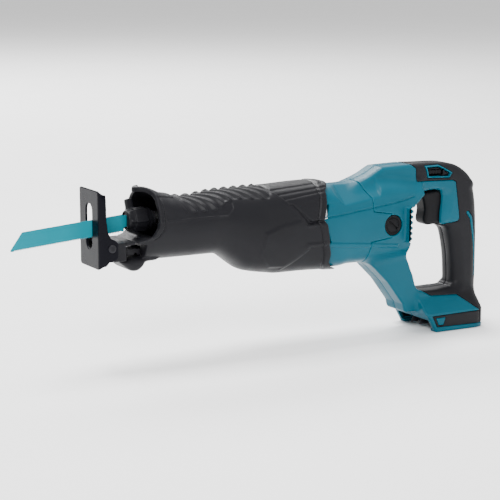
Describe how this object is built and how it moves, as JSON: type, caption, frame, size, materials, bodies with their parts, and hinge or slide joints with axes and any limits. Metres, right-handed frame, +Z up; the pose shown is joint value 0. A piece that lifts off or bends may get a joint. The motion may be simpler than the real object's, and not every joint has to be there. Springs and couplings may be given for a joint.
{
  "type": "reciprocating saw",
  "caption": "Cordless reciprocating saw without its battery: blade in a turning clamp, pivoting shoe, soft front boot, motor housing and a closed loop handle on a battery foot.",
  "frame": {"origin": "under the middle of the tool's box, at the height of the foot's underside", "axes": "+X from the blade back to the grip, +Y to the tool's right-hand side, +Z up"},
  "size_m": [0.575, 0.081, 0.1924],
  "materials": {
    "teal_plastic": "satin moulded plastic",
    "soft_black": "fine grained elastomer",
    "black_plastic": "satin",
    "black_coated_steel": "gloss coated",
    "blade_paint": "satin paint on spring steel",
    "dark_steel": "black oxide",
    "steel": "ground",
    "cast_aluminium": "as cast",
    "copper": "turned",
    "bronze": "turned",
    "ferrite": "sintered",
    "carbon": "pressed carbon",
    "felt": "felt"
  },
  "bodies": {
    "root": {"front_boot": "soft_black", "gear_housing_nose": "cast_aluminium", "gear_housing_lower": "cast_aluminium", "gear_housing_cover": "cast_aluminium", "slide_bush": "bronze", "rod_seal": "felt", "shoe_guide": "steel", "crank_bearing_upper": "steel", "crank_bearing_lower": "steel", "bearing_bracket": "cast_aluminium", "armature_bearing_front": "steel", "armature_bearing_rear": "steel", "motor_housing": "teal_plastic", "motor_yoke": "dark_steel", "magnet_left": "ferrite", "magnet_right": "ferrite", "brush_holder_left": "bronze", "brush_holder_right": "bronze", "carbon_brush_left": "carbon", "carbon_brush_right": "carbon", "brush_cap_left": "black_plastic", "brush_cap_right": "black_plastic", "handle_left": "teal_plastic", "handle_right": "teal_plastic", "grip_left": "soft_black", "grip_right": "soft_black", "foot_pad_left": "soft_black", "foot_pad_right": "soft_black", "switch_body": "black_plastic", "terminal_block": "black_plastic", "terminal_plus": "copper", "terminal_minus": "copper", "handle_screw_1": "steel", "handle_screw_2": "steel", "handle_screw_3": "steel", "handle_screw_4": "steel", "handle_screw_5": "steel"},
    "shoe_slide": {"shoe_bracket": "dark_steel", "shoe_pivot_pin": "steel", "shoe_slide_bar": "steel"},
    "shoe": {"shoe_plate": "black_coated_steel"},
    "shoe_lock": {"shoe_lock_button": "black_plastic"},
    "crank": {"crank_gear": "steel", "crankshaft": "steel", "crank_pin": "steel", "crank_roller": "steel"},
    "armature": {"armature_shaft": "steel", "armature_core": "dark_steel", "commutator": "copper", "cooling_fan": "black_plastic", "drive_pinion": "steel"},
    "slider": {"slider_rod": "steel", "slider_yoke": "steel", "clamp_body": "steel", "saw_blade": "blade_paint"},
    "clamp_sleeve": {"clamp_sleeve": "dark_steel"},
    "trigger": {"trigger": "black_plastic"},
    "lock_off": {"lock_off_button": "black_plastic"}
  },
  "joints": [
    {"name": "shoe_adjust", "type": "slide", "parent": "root", "child": "shoe_slide", "axis": [-1, 0, 0], "range_m": [0, 0.03]},
    {"name": "shoe_pivot", "type": "hinge", "parent": "shoe_slide", "child": "shoe", "pos_m": [-0.187, 0, 0.131], "axis": [0, 1, 0], "range_deg": [-20, 20]},
    {"name": "shoe_lock", "type": "slide", "parent": "root", "child": "shoe_lock", "axis": [0, -1, 0], "range_m": [0, 0.004]},
    {"name": "crank_turn", "type": "hinge", "parent": "root", "child": "crank", "pos_m": [0.0195, 0, 0.1305], "axis": [0, 0, 1], "range_deg": [0, 180]},
    {"name": "armature_spin", "type": "hinge", "parent": "root", "child": "armature", "pos_m": [0.0195, 0, 0.1305], "axis": [1, 0, 0], "range_deg": [-720, 0]},
    {"name": "slider_stroke", "type": "slide", "parent": "root", "child": "slider", "axis": [1, 0, 0], "range_m": [0, 0.032]},
    {"name": "clamp_turn", "type": "hinge", "parent": "slider", "child": "clamp_sleeve", "pos_m": [-0.1585, 0, 0.1545], "axis": [1, 0, 0], "range_deg": [-55, 0], "stiffness_Nm_per_rad": 0.1, "springref_deg": 20.05},
    {"name": "trigger_pull", "type": "slide", "parent": "root", "child": "trigger", "axis": [1, 0, 0], "range_m": [0, 0.007], "stiffness_N_per_m": 1200, "springref_m": -0.003},
    {"name": "lock_off_press", "type": "slide", "parent": "root", "child": "lock_off", "axis": [0, -1, 0], "range_m": [0, 0.005]}
  ],
  "couplings": [
    {"joint": "slider_stroke", "follows": "crank_turn", "m_per_rad": 0.010186},
    {"joint": "armature_spin", "follows": "crank_turn", "ratio": -4}
  ]
}
